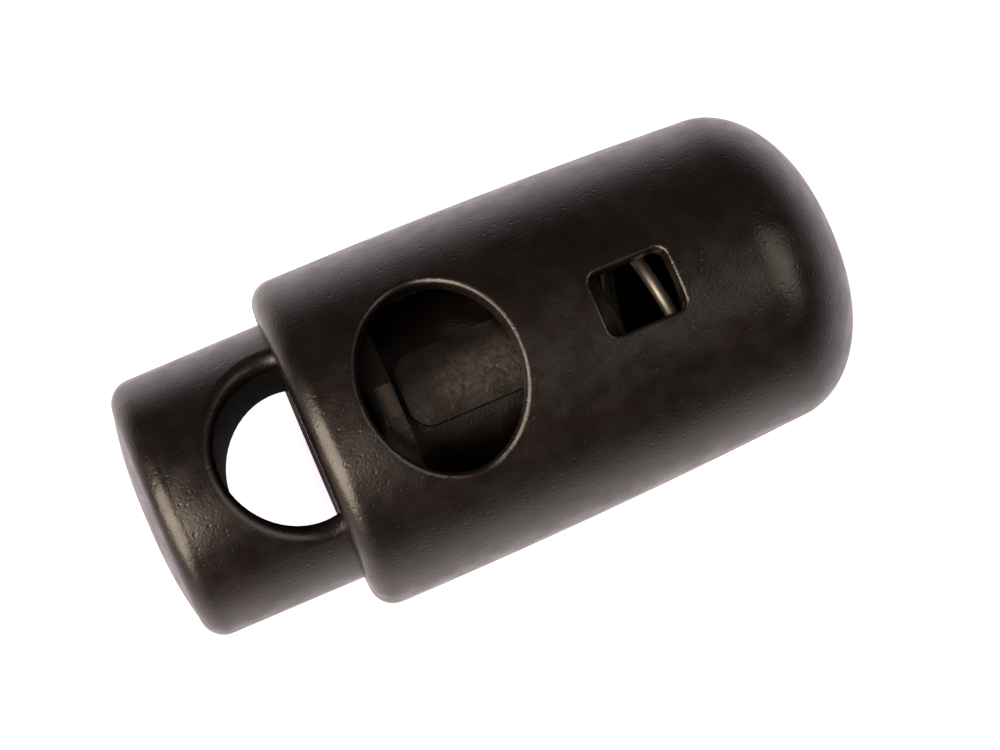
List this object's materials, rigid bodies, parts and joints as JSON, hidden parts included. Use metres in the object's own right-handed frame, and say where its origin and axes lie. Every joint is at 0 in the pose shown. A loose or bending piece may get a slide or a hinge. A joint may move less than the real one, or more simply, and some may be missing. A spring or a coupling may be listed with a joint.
{
  "type": "cord lock",
  "caption": "Barrel cord lock: a blind round barrel with an oval cord hole, a spring-loaded push plunger with a matching bore, and a coil spring.",
  "frame": {"origin": "centre of the plunger's cord bore with the plunger out, on the barrel's axis", "axes": "+X along the barrel to its closed end, +Z along the cord holes, Y across"},
  "size_m": [0.0299, 0.014, 0.014],
  "materials": {
    "barrel_plastic": "fine moulded texture, satin",
    "plunger_plastic": "fine moulded texture, satin",
    "spring_wire": "drawn wire, bright"
  },
  "bodies": {
    "barrel": {"barrel": "barrel_plastic", "spring": "spring_wire"},
    "plunger": {"plunger": "plunger_plastic"}
  },
  "joints": [
    {"name": "plunger_slide", "type": "slide", "parent": "barrel", "child": "plunger", "axis": [1, 0, 0], "range_m": [0, 0.0063], "stiffness_N_per_m": 900, "springref_m": -0.006, "deforming": ["spring"]}
  ]
}
